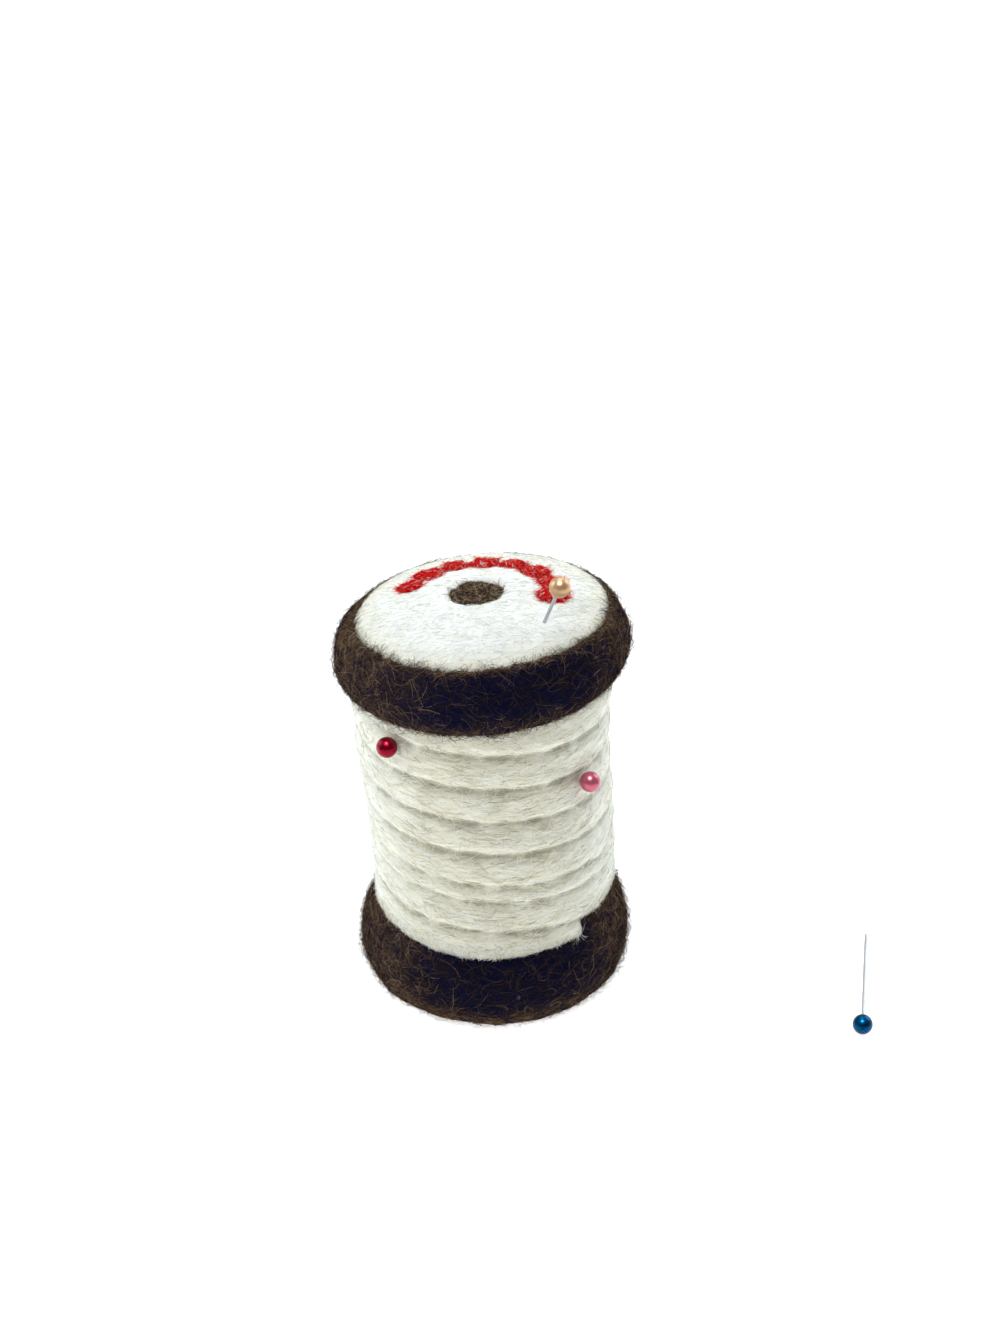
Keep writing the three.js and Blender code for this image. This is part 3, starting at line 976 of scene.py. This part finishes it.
class PINCUSHION_OT_flanges(PieceOperator, bpy.types.Operator):
    """Felts the two brown flanges"""

    bl_idname = "pincushion.flanges"
    bl_label = "Brown flanges"

    def execute(self, context):
        felt, wool, _ = self.settings(context)
        finish = brown_finish(wool)
        for seed, node, painted_rim, shape in (
            (11, "bottom_flange", foot_rim_light, None),
            (23, "top_flange", ring_rim_light, self.fill_ring),
        ):
            piece = felted(node, [node], felt, seed, shape=shape)
            points = points_of(piece.data)
            # Light painted on the edges and the sides.
            stored(piece.data, "painted_rim", np.maximum(painted_rim(points), 0.9 * painted_side_light(points)))
            finished(piece, finish)
        return {"FINISHED"}

    def fill_ring(self, mesh):
        """Makes the ring fuller over the top in front, down over the roving and at its left shoulder."""
        points = points_of(mesh)
        height, reach, way = points[:, 2], top_reach(points), outwards(points)
        front = np.clip(-way[:, 1], 0.0, 1.0) ** 0.6
        right = np.clip(0.6 * way[:, 0] - 0.8 * way[:, 1], 0.0, 1.0)
        left = np.clip(-way[:, 0], 0.0, 1.0) ** 3
        mouth = eased(reach, 27.0 * MM, 24.6 * MM) * eased(normals_of(mesh)[:, 2], 0.1, 0.6)
        skirt = eased(height, 71.5 * MM, 68.5 * MM) * eased(reach, 24.5 * MM, 26.0 * MM)
        shoulder = eased(height, 72.0 * MM, 75.0 * MM) * eased(reach, 26.0 * MM, 27.0 * MM)
        swollen(mesh, (1.4 * front * mouth + 1.0 * right * skirt + 0.9 * left * shoulder) * MM)


class PINCUSHION_OT_winding(PieceOperator, bpy.types.Operator):
    """Felts the wound roving over its core"""

    bl_idname = "pincushion.winding"
    bl_label = "Wound roving"

    def execute(self, context):
        felt, wool, _ = self.settings(context)
        piece = felted(
            "wound_roving", ["wound_roving", "wool_core"], felt, 5,
            swell=1.15, softening=0.6, lumps=0.7, shape=self.fill_grooves,
        )
        points = points_of(piece.data)
        # Painted shade: in the grooves, and a little on ledges that face up.
        groove_shade = eased(-body_depth(points), 0.05 * MM, 0.6 * MM)
        ledge_shade = eased(normals_of(piece.data)[:, 2], 0.02, 0.5)
        stored(piece.data, "groove_shade", np.maximum(groove_shade, 0.15 * ledge_shade))
        # Painted light: whiter at the left and right.
        stored(piece.data, "side", painted_winding_light(points))
        finished(piece, cream_finish(wool))
        return {"FINISHED"}

    def fill_grooves(self, mesh):
        """Swells the sides of the turns, so that the grooves between them are narrow."""
        points = points_of(mesh)
        depth = np.clip(GROOVE_FILL - body_depth(points), 0.0, DEEPEST_GROOVE)
        lift = depth - DEEPEST_GROOVE * (depth / DEEPEST_GROOVE) ** 1.9
        spoke = level(points[:, 0] - body_axis(points), points[:, 1])
        moved(mesh, points + spoke * lift[:, None])


class PINCUSHION_OT_cushion(PieceOperator, bpy.types.Operator):
    """Felts the white crowned top"""

    bl_idname = "pincushion.cushion"
    bl_label = "Crowned top"

    def execute(self, context):
        felt, wool, _ = self.settings(context)
        piece = felted("top_cushion", ["top_cushion"], felt, 31, swell=1.3, lumps=0.45, needling=0.3)
        dented(piece.data, *pushed_home(STANDING_PIN))
        # Shade painted in cream along the rim of the top.
        stored(piece.data, "painted_rim", eased(top_reach(points_of(piece.data)), *RIM_SHADE))
        finished(piece, white_finish(wool))
        return {"FINISHED"}


class PINCUSHION_OT_hole_patch(PieceOperator, bpy.types.Operator):
    """Felts the brown patch that stands for the spool's hole"""

    bl_idname = "pincushion.hole_patch"
    bl_label = "Hole patch"

    def execute(self, context):
        felt, wool, _ = self.settings(context)
        piece = felted("spool_hole_patch", ["spool_hole_patch"], felt, 41, swell=1.8, lumps=0.8)
        ragged(piece, middle("spool_hole_patch"), 0.2, 2.6, 3)
        finished(piece, tangled_finish("patch_wool", wool.brown, wool.umber, wool.hazel))
        return {"FINISHED"}


class PINCUSHION_OT_dabs(PieceOperator, bpy.types.Operator):
    """Felts the red dabs"""

    bl_idname = "pincushion.dabs"
    bl_label = "Red dabs"

    def execute(self, context):
        felt, wool, _ = self.settings(context)
        finish = tangled_finish("red_wool", [0.6 * c for c in wool.red], wool.red, wool.rose)
        for seed, node in enumerate(DABS):
            piece = felted(node, [node], felt, 60 + 3 * seed, softening=0.5)
            ragged(piece, middle(node), 0.4, 3.0, seed)
            finished(piece, finish)
        return {"FINISHED"}


class PINCUSHION_OT_fibres(PieceOperator, bpy.types.Operator):
    """Lays loose fibres over the felt and across its edges"""

    bl_idname = "pincushion.fibres"
    bl_label = "Loose fibres"

    def execute(self, context):
        felt, wool, _ = self.settings(context)
        self.radius = felt.fibre_radius
        self.browns = fibre_finishes(wool, "brown", "umber", "hazel", "tan", "straw")
        self.foot, self.ring, self.body, self.top, self.patch = (
            bpy.data.objects[name + "_felt"]
            for name in ("bottom_flange", "top_flange", "wound_roving", "top_cushion", "spool_hole_patch")
        )
        self.flange_fibres()
        self.roving_fibres(fibre_finishes(wool, "cream", "white", "beige", "speck"))
        self.top_fibres(fibre_finishes(wool, "white", "cream", "umber"))
        self.dab_fibres(fibre_finishes(wool, "red", "rose", "white"))
        return {"FINISHED"}

    def flange_fibres(self):
        """A close coat and longer fuzz on both flanges, single curls, and fibres across the ring's edges."""

        def foot_outside(points, normals):
            return (np.hypot(points[:, 0], points[:, 1]) > FOOT_OUTSIDE) & (points[:, 2] > 0.4 * MM)

        def ring_outside(points, normals):
            return top_reach(points) > RING_OUTSIDE

        by_body, by_top = beside(self.body, 4.0 * MM), beside(self.top, 1.6 * MM)

        def ring_skirt(points, normals):
            return by_body(points) & overhanging(normals)

        def ring_mouth(points, normals):
            return by_top(points) & (normals[:, 2] > 0.0)

        self.flange_coat(self.foot, 11, foot_outside, foot_rim_light)
        self.flange_coat(self.ring, 23, ring_outside, ring_rim_light)
        curls = Fleece(29, self.radius * 0.8, 13)
        for piece, count, keep in ((self.foot, 12, foot_outside), (self.ring, 20, ring_outside)):
            curls.grow(piece, count, keep, (3, 6), (0.2, 1.2), (0, 0, 2, 3, 1), curl=5.0)
        curls.piece("pale_curls", self.browns, "brown_wool")
        edge = Fleece(31, self.radius * 0.9)
        edge.grow(
            self.ring, 3400, ring_skirt, (1, 4), (0.05, 0.9), (1, 4, 5, 2),
            heading=downwards, spread=0.8, curl=1.4, cling=0.4, over=[self.body],
        )
        edge.grow(
            self.ring, 4000, ring_mouth, (1, 3.6), (0.05, 0.8), (0, 2, 5, 5, 0.6),
            heading=inwards, spread=0.9, curl=1.8, cling=0.5, over=[self.top],
        )
        edge.piece("top_flange_edge_fibres", self.browns, "brown_wool")

    def flange_coat(self, piece, seed, keep, painted_rim):
        """Dark fibres all over a flange, fewer where light is painted, and paler ones along its rim and at
        its sides, as painted light.
        """

        def darker(points, normals):
            shade = 1.0 - 0.8 * painted_rim(points) - 0.4 * painted_side_light(points)
            return keep(points, normals) * np.clip(shade, 0.1, 1.0)

        def paler(points, normals):
            return keep(points, normals) * (0.005 + painted_side_light(points) + 0.9 * painted_rim(points))

        coat = Fleece(seed, self.radius * 1.3)
        coat.grow(piece, 4200, darker, (3, 7), (0.02, 0.4), (6, 4, 0.3), spread=0.6)
        coat.grow(piece, 3300, paler, (2, 6), (0.02, 0.4), (3, 2, 4, 3), spread=0.6)
        coat.piece(piece.name.replace("felt", "fibres"), self.browns, "brown_wool")
        fuzz = Fleece(seed + 1, self.radius * 0.85)
        fuzz.grow(piece, 3300, keep, (2, 6), (0.1, 1.8), (2, 5, 2), curl=2.4, cling=0.6)
        fuzz.grow(piece, 4200, paler, (2, 6), (0.1, 2.2), (1, 2, 5, 4, 0.2), curl=2.4, cling=0.6)
        fuzz.piece(piece.name.replace("felt", "fuzz"), self.browns, "brown_wool")

    def roving_fibres(self, shades):
        """Fibres that run with the turns, fuzz, dark specks, and fibres over the foot and off the tail."""

        def outside(points, normals):
            return body_depth(points) > -1.5 * MM

        def crests(points, normals):
            return body_depth(points) > -0.3 * MM

        def front_crests(points, normals):
            return crests(points, normals) * (1.0 - 0.8 * painted_winding_light(points))

        def side_lit_crests(points, normals):
            return crests(points, normals) * painted_winding_light(points)

        by_foot = beside(self.foot, 4.0 * MM)

        def lower_edge(points, normals):
            return by_foot(points) & overhanging(normals) & (body_depth(points) > -2.0 * MM)

        def tail_end(points, normals):
            ahead = (round_axis(points) * normals).sum(1) > 0.5
            azimuth = np.degrees(np.arctan2(points[:, 1], points[:, 0]))
            low = np.abs(points[:, 2] - BASE_TOP - TAIL_HEIGHT) < 3 * MM
            return ahead & (np.abs(azimuth - TAIL_AZIMUTH) < 14) & low & outside(points, normals)

        coat = Fleece(7, self.radius)
        # Whiter fibres at the left and right as painted light, creamier ones elsewhere.
        coat.grow(self.body, 4200, front_crests, (3, 8), (0.02, 0.3), (5, 4, 1.6), spread=0.13)
        coat.grow(self.body, 2200, side_lit_crests, (3, 8), (0.02, 0.3), (2, 8, 0.3), spread=0.13)
        coat.piece("wound_roving_fibres", shades, "cream_wool")
        fuzz = Fleece(8, self.radius * 0.75)
        fuzz.grow(
            self.body, 6200, crests, (1.2, 4), (0.05, 1.3), (3, 7, 1), spread=1.0, curl=2.2, cling=0.7
        )
        fuzz.piece("wound_roving_fuzz", shades, "cream_wool")
        specks = Fleece(10, self.radius * 1.2)
        specks.grow(self.body, 1500, outside, (0.6, 2), (0.02, 0.1), (0, 0, 2, 1), spread=0.2, curl=0.4)
        specks.piece("wound_roving_specks", shades, "cream_wool")
        edge = Fleece(9, self.radius)
        edge.grow(
            self.body, 6200, lower_edge, (0.8, 2.6), (0.02, 0.6), (5, 5, 0.5),
            heading=downwards, spread=0.7, cling=0.4, over=[self.foot],
        )
        edge.grow(
            self.body, 700, tail_end, (1, 4), (0.02, 0.4), (5, 5, 0.5),
            spread=0.4, cling=0.6, over=[self.foot],
        )
        edge.piece("roving_edge_fibres", shades, "cream_wool")

    def top_fibres(self, shades):
        """Short fibres every way on the top, a few dark hairs, and curls on the patch."""
        by_ring = beside(self.ring, 1.0 * MM)
        dent = pushed_home(STANDING_PIN)

        def upper(points, normals):
            return normals[:, 2] > 0.4

        def border(points, normals):
            return by_ring(points) & (normals[:, 2] > 0.1)

        def patch_upper(points, normals):
            return normals[:, 2] > 0.2

        coat = Fleece(13, self.radius, clear=dent)
        coat.grow(self.top, 1400, upper, (2, 5), (0.02, 0.15), (7, 2, 0), curl=2.4)
        coat.grow(self.top, 4600, upper, (1, 3), (0.02, 0.4), (7, 2, 0), curl=3.0)
        coat.grow(
            self.top, 1400, border, (0.8, 2.6), (0.05, 0.5), (5, 4, 0),
            heading=outwards, spread=0.9, curl=1.8, cling=0.5, over=[self.ring],
        )
        coat.piece("top_cushion_fibres", shades, "white_wool")
        hairs = Fleece(17, self.radius * 0.6, 9, clear=dent)
        hairs.grow(self.top, 12, upper, (3, 8), (0.1, 0.4), (0, 0, 1), curl=2.5)
        hairs.piece("top_cushion_hairs", shades, "white_wool")
        curls = Fleece(43, self.radius * 1.3, 9)
        curls.grow(
            self.patch, 800, patch_upper, (1.2, 3.2), (0.05, 0.5), (1, 3, 3, 3, 2),
            curl=4.0, cling=0.7, over=[self.top],
        )
        curls.piece("spool_hole_patch_fibres", self.browns, "patch_wool")

    def dab_fibres(self, shades):
        """Fibres that run out over the edges of the dabs."""

        def upper(points, normals):
            return normals[:, 2] > 0.1

        coat = Fleece(53, self.radius * 1.3)
        for node in DABS:
            coat.grow(
                bpy.data.objects[node + "_felt"], 900, upper, (0.7, 2.4), (0.05, 0.5), (6, 2, 0.7),
                heading=away_from(middle(node)), spread=0.8, curl=2.0, cling=0.6, over=[self.top],
            )
        coat.piece("red_dab_fibres", shades, "red_wool")


class PINCUSHION_OT_pins(PieceOperator, bpy.types.Operator):
    """Makes the pearl heads and the steel wires of the pins"""

    bl_idname = "pincushion.pins"
    bl_label = "Pins"

    def execute(self, context):
        _, _, looks = self.settings(context)
        steel = steel_finish(looks)
        for name, shimmer in PINS.items():
            shade = name.split("_")[0]
            pearl = shade + "_pearl"
            lacquer = pearl_finish(pearl, getattr(looks, shade), shimmer)
            self.pin(name, pearl, lacquer, steel, looks)
        return {"FINISHED"}

    def pin(self, name, pearl, lacquer, steel, looks):
        """A turned head and wire, on the axis and with the radii of their solids."""
        head_node, wire_node = name + "_head", name + "_shaft"
        head = middle(head_node)
        vertices = frame["nodes"][wire_node].data.vertices
        ends = sorted((v.co for v in vertices), key=lambda p: (p - head).length)
        axis = (head - ends[-1]).normalized()
        tip = (ends[-1] - head).length
        across = [(p - head) - axis * (p - head).dot(axis) for p in ends]
        wire = max(v.length for v in across)
        taper = next((p - head).length for p, v in zip(ends[::-1], across[::-1]) if v.length > 0.5 * wire)
        radius = head_radius(name)
        bead = lathed(head_node + "_pearl", self.head_profile(radius, wire, looks), HEAD_SIDES, head, axis)
        self.dressed(bead, lacquer, head_node, pearl, name)
        full = WIRE_FULLNESS * wire
        profile = [
            (0.0, -tip),
            (wire * 0.35, -tip + 0.05 * MM),
            (wire * 0.8, -(tip + taper) / 2),
            (wire, -taper + 0.2 * MM),
            (full, -taper + 3 * MM),
            (full, -radius - 0.2 * MM),
            (full, 0.0),
            (0.0, 0.0),
        ]
        shaft = lathed(wire_node + "_wire", profile, WIRE_SIDES, head, axis)
        self.dressed(shaft, steel, wire_node, "pin_steel", name)

    def head_profile(self, radius, wire, looks):
        """A head from the glue collar over the ball to the lacquer drop."""
        drop = radius + COLLAR_DROP
        nub = looks.nub_radius
        profile = [
            (0.0, -drop),
            (wire * 1.25, -drop + 0.03 * MM),
            (looks.collar_radius, -radius - 0.05 * MM),
        ]
        collar = math.asin(looks.collar_radius / radius) * 1.1
        crown = math.pi - math.asin(nub / radius)
        for i in range(HEAD_ROWS + 1):
            angle = collar + (crown - collar) * i / HEAD_ROWS
            profile.append((radius * math.sin(angle), -radius * math.cos(angle)))
        drops = [(nub * 0.8, 0.08), (nub * 0.4, 0.13), (0.0, 0.14)]
        return profile + [(reach, radius + height * MM) for reach, height in drops]

    def dressed(self, piece, finish, node, slot, body):
        """Puts a piece in the place of a pin's solid."""
        piece.data.materials.append(finish)
        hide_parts(node)
        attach(piece, body)


class PINCUSHION_OT_stage(PieceOperator, bpy.types.Operator):
    """Sets the floor, the light tent and the camera"""

    bl_idname = "pincushion.stage"
    bl_label = "Stage"

    def execute(self, context):
        stage = context.scene.pincushion_stage
        self.floor()
        self.tent(context.scene, stage)
        self.lamp("left_light", stage.left, 0.35, (-0.45, 0.14, 0.3)).data.color = COOL_LIGHT
        self.lamp("right_light", stage.right, 0.35, (0.42, 0.28, 0.3)).data.color = COOL_LIGHT
        self.lamp("back_light", stage.back, 0.4, (0.0, 0.3, 0.6))
        self.lamp("key_light", stage.key, 0.15, (-0.2, -0.3, 0.42)).visible_glossy = False
        self.lamp("spark", stage.spark, 0.14, (-0.03, -0.16, 0.55)).visible_diffuse = False
        camera = bpy.data.cameras.new("camera")
        camera.lens = stage.lens
        camera.clip_start = 0.01
        viewer = linked("camera", camera)
        viewer.location = stage.eye
        viewer.rotation_euler = (math.pi / 2 - stage.pitch, 0.0, 0.0)
        context.scene.camera = viewer
        context.scene.view_settings.view_transform = "Standard"
        return {"FINISHED"}

    def floor(self):
        """White paper, faintly mottled, that glows enough to look blank."""
        mesh = bpy.data.meshes.new("floor")
        corners = [(x * FLOOR_HALF, y * FLOOR_HALF, 0) for x, y in ((-1, -1), (1, -1), (1, 1), (-1, 1))]
        mesh.from_pydata(corners, [], [(0, 1, 2, 3)])
        finish = Finish("paper")
        vector, _ = finish.place()
        mottle = finish.noise(vector, 0.05, 2.0)
        mesh.materials.append(
            finish.principled(
                Base_Color=finish.mix(mottle, (0.93, 0.93, 0.93), (0.95, 0.95, 0.95)),
                Roughness=0.9,
                Specular_IOR_Level=0.1,
                Emission_Color=(1.0, 1.0, 1.0, 1.0),
                Emission_Strength=0.8,
            )
        )
        linked("floor", mesh)

    def tent(self, scene, stage):
        """A pale tent all round, dimmer at the front."""
        world = bpy.data.worlds.new("tent")
        nodes = Nodes(world)
        way = nodes.value("Generated", "ShaderNodeTexCoord")
        depth = nodes.value("Y", "ShaderNodeSeparateXYZ", None, {0: way})
        ramp = {
            "Value": depth,
            "From Min": -1.0,
            "From Max": 0.4,
            "To Min": 0.2 * stage.sky,
            "To Max": stage.sky,
        }
        strength = nodes.value("Result", "ShaderNodeMapRange", {"interpolation_type": "SMOOTHSTEP"}, ramp)
        light = nodes.value(0, "ShaderNodeBackground", None, {"Strength": strength})
        nodes.node("ShaderNodeOutputWorld", None, {"Surface": light})
        scene.world = world

    def lamp(self, name, watts, size, place):
        """A square soft light that faces the spool."""
        light = bpy.data.lights.new(name, "AREA")
        light.energy = watts
        light.size = size
        lamp = linked(name, light)
        lamp.location = place
        lamp.rotation_euler = (LAMP_TARGET - Vector(place)).to_track_quat("-Z", "Y").to_euler()
        return lamp


class PINCUSHION_PT_panel(bpy.types.Panel):
    """Lists the pieces of the pincushion"""

    bl_label = "Spool pincushion"
    bl_idname = "PINCUSHION_PT_panel"
    bl_space_type = "VIEW_3D"
    bl_region_type = "UI"
    bl_category = "Pincushion"

    def draw(self, context):
        for operator in OPERATORS:
            self.layout.operator(operator.bl_idname)
        for key in GROUPS:
            box = self.layout.box()
            settings = getattr(context.scene, "pincushion_" + key)
            for setting in settings.__annotations__:
                box.prop(settings, setting)


GROUPS = {"felt": FeltSettings, "wool": WoolColours, "pins": PinLooks, "stage": StageSettings}
OPERATORS = (
    PINCUSHION_OT_stage,
    PINCUSHION_OT_flanges,
    PINCUSHION_OT_winding,
    PINCUSHION_OT_cushion,
    PINCUSHION_OT_hole_patch,
    PINCUSHION_OT_dabs,
    PINCUSHION_OT_fibres,
    PINCUSHION_OT_pins,
)
CLASSES = (*GROUPS.values(), *OPERATORS, PINCUSHION_PT_panel)


def register():
    for item in CLASSES:
        bpy.utils.register_class(item)
    for key, group in GROUPS.items():
        setattr(bpy.types.Scene, "pincushion_" + key, PointerProperty(type=group))


def unregister():
    for key in GROUPS:
        delattr(bpy.types.Scene, "pincushion_" + key)
    for item in reversed(CLASSES):
        bpy.utils.unregister_class(item)


def main():
    register()
    bpy.ops.pincushion.stage()
    bpy.ops.pincushion.flanges()
    bpy.ops.pincushion.winding()
    bpy.ops.pincushion.cushion()
    bpy.ops.pincushion.hole_patch()
    bpy.ops.pincushion.dabs()
    bpy.ops.pincushion.fibres()
    bpy.ops.pincushion.pins()


if __name__ == "__main__":
    main()
